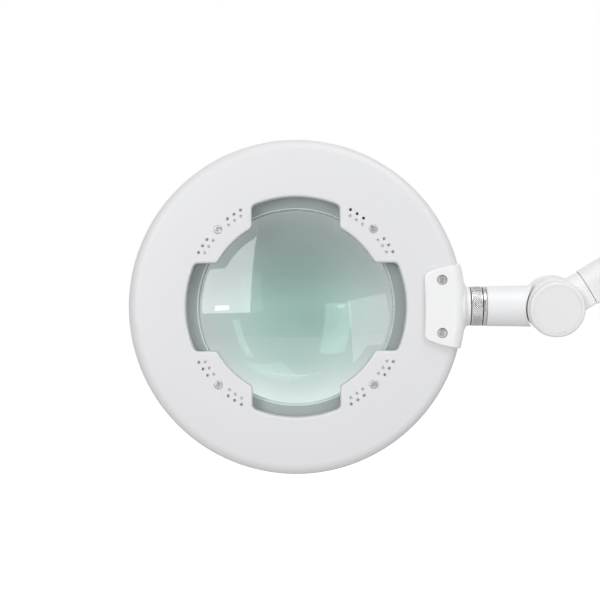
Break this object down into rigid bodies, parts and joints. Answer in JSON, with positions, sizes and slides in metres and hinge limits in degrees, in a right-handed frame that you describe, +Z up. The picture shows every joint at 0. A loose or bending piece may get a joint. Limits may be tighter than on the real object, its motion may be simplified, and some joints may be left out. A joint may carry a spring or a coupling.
{
  "type": "magnifying lamp",
  "caption": "Table-clamp magnifying lamp: round lit lens head with a cross-shaped window, on a tilting and swivelling stem, with two spring arms.",
  "frame": {"origin": "middle of the upper jaw pad's underside, where the post's swivel axis meets the tabletop", "axes": "+Z up along the post, +X from the head towards the clamp's spine, arms in the XZ plane, the head's top face looks along -Y"},
  "size_m": [0.6772, 0.0607, 0.642],
  "materials": {
    "head_shell": "satin moulded shell",
    "lens_glass": "polished",
    "gasket_grey": "matte",
    "seat_grey": "satin",
    "circuit_board": "white solder mask on aluminium",
    "led_cover": "phosphor",
    "frosted_diffuser": "frosted",
    "screw_steel": "zinc plated",
    "circuit_green": "solder mask",
    "brass_fitting": "turned",
    "component_black": "moulded",
    "button_grey": "soft touch",
    "lead_white": "PVC",
    "bracket_white": "powder coated casting",
    "bearing_plastic": "acetal",
    "collar_metal": "knurled and turned",
    "arm_white": "powder coated tube",
    "cap_white": "satin moulded cap",
    "spring_steel": "drawn",
    "clamp_white": "powder coated casting",
    "knob_black": "moulded",
    "pad_rubber": "matte"
  },
  "bodies": {
    "base": {"clamp_body": "clamp_white", "jaw_pad": "pad_rubber", "clamp_nut": "screw_steel", "post_bush": "bearing_plastic", "retaining_screw": "knob_black"},
    "pressure_foot": {"pressure_pad": "screw_steel", "pad_rubber": "pad_rubber"},
    "screw": {"clamp_screw": "screw_steel"},
    "tommy": {"tommy_bar": "screw_steel", "tommy_knobs": "knob_black"},
    "post": {"shoulder_post": "bracket_white", "shoulder_pins": "screw_steel", "power_inlet": "component_black"},
    "lower_arm": {"lower_arm_tube": "arm_white", "shoulder_fork": "bracket_white", "elbow_lower_fork": "bracket_white", "lower_arm_caps": "cap_white", "lower_arm_bolts": "screw_steel", "lower_arm_nuts": "screw_steel", "lower_arm_washers": "bearing_plastic", "lower_anchor_pin": "screw_steel", "lower_spring": "spring_steel", "lower_arm_lead": "lead_white"},
    "rod": {"parallel_rod": "spring_steel"},
    "elbow": {"elbow_block": "bracket_white", "elbow_pins": "screw_steel"},
    "upper_arm": {"upper_arm_tube": "arm_white", "knuckle_fork": "bracket_white", "elbow_upper_fork": "bracket_white", "upper_arm_caps": "cap_white", "upper_arm_bolts": "screw_steel", "upper_arm_nuts": "screw_steel", "upper_arm_washers": "bearing_plastic", "upper_anchor_pin": "screw_steel", "upper_spring": "spring_steel", "upper_arm_lead": "lead_white"},
    "stem": {"stem": "arm_white", "collar_ring": "collar_metal", "swivel_clip": "screw_steel", "stem_lead": "lead_white"},
    "collar": {"lock_collar": "collar_metal"},
    "head": {"head_top_cover": "head_shell", "head_lower_housing": "head_shell", "lens": "lens_glass", "lens_gasket": "gasket_grey", "lens_barrel": "seat_grey", "led_board": "circuit_board", "led_chips": "led_cover", "diffuser": "frosted_diffuser", "cover_screws": "screw_steel", "board_screws": "screw_steel", "driver_board": "circuit_green", "driver_standoffs": "brass_fitting", "driver_parts": "component_black", "tact_switch": "component_black", "head_leads": "lead_white", "rim_bracket": "bracket_white", "bracket_screws": "screw_steel", "neck_bush": "bearing_plastic"},
    "button": {"power_button": "button_grey"}
  },
  "joints": [
    {"name": "post_swivel", "type": "hinge", "parent": "base", "child": "post", "pos_m": [0, 0, 0.022], "axis": [0, 0, 1], "continuous": true},
    {"name": "shoulder", "type": "hinge", "parent": "post", "child": "lower_arm", "pos_m": [0, 0, 0.095], "axis": [0, 1, 0], "range_deg": [-45, 25], "deforming": ["lower_spring"]},
    {"name": "rod_pivot", "type": "hinge", "parent": "post", "child": "rod", "pos_m": [-0.00611, 0, 0.09608], "axis": [0, 1, 0], "range_deg": [-45, 25]},
    {"name": "elbow_level", "type": "hinge", "parent": "lower_arm", "child": "elbow", "pos_m": [0.13681, 0, 0.47088], "axis": [0, 1, 0], "range_deg": [-25, 45]},
    {"name": "elbow_tilt", "type": "hinge", "parent": "elbow", "child": "upper_arm", "pos_m": [0.09697, 0, 0.5043], "axis": [0, 1, 0], "range_deg": [-30, 60], "deforming": ["upper_spring"]},
    {"name": "head_tilt", "type": "hinge", "parent": "upper_arm", "child": "stem", "pos_m": [-0.24589, 0, 0.29829], "axis": [0, 1, 0], "range_deg": [-90, 60]},
    {"name": "head_swivel", "type": "hinge", "parent": "stem", "child": "head", "pos_m": [-0.30369, 0, 0.29829], "axis": [1, 0, 0], "range_deg": [-150, 150]},
    {"name": "collar_lock", "type": "hinge", "parent": "stem", "child": "collar", "pos_m": [-0.29569, 0, 0.29829], "axis": [1, 0, 0], "range_deg": [0, 90]},
    {"name": "power_press", "type": "slide", "parent": "head", "child": "button", "axis": [0, -0.9907, 0.1357], "range_m": [0, 0.0007], "stiffness_N_per_m": 300},
    {"name": "clamp_travel", "type": "slide", "parent": "base", "child": "pressure_foot", "axis": [0, 0, 1], "range_m": [-0.024, 0.0195]},
    {"name": "clamp_turn", "type": "hinge", "parent": "pressure_foot", "child": "screw", "pos_m": [0, 0, -0.08], "axis": [0, 0, 1], "range_deg": [-5760, 4680]},
    {"name": "tommy_slide", "type": "slide", "parent": "screw", "child": "tommy", "axis": [1, 0, 0], "range_m": [-0.022, 0.022]}
  ],
  "couplings": [
    {"joint": "rod_pivot", "follows": "shoulder", "ratio": 1},
    {"joint": "elbow_level", "follows": "shoulder", "ratio": -1},
    {"joint": "clamp_travel", "follows": "clamp_turn", "m_per_rad": 0.00023873}
  ]
}
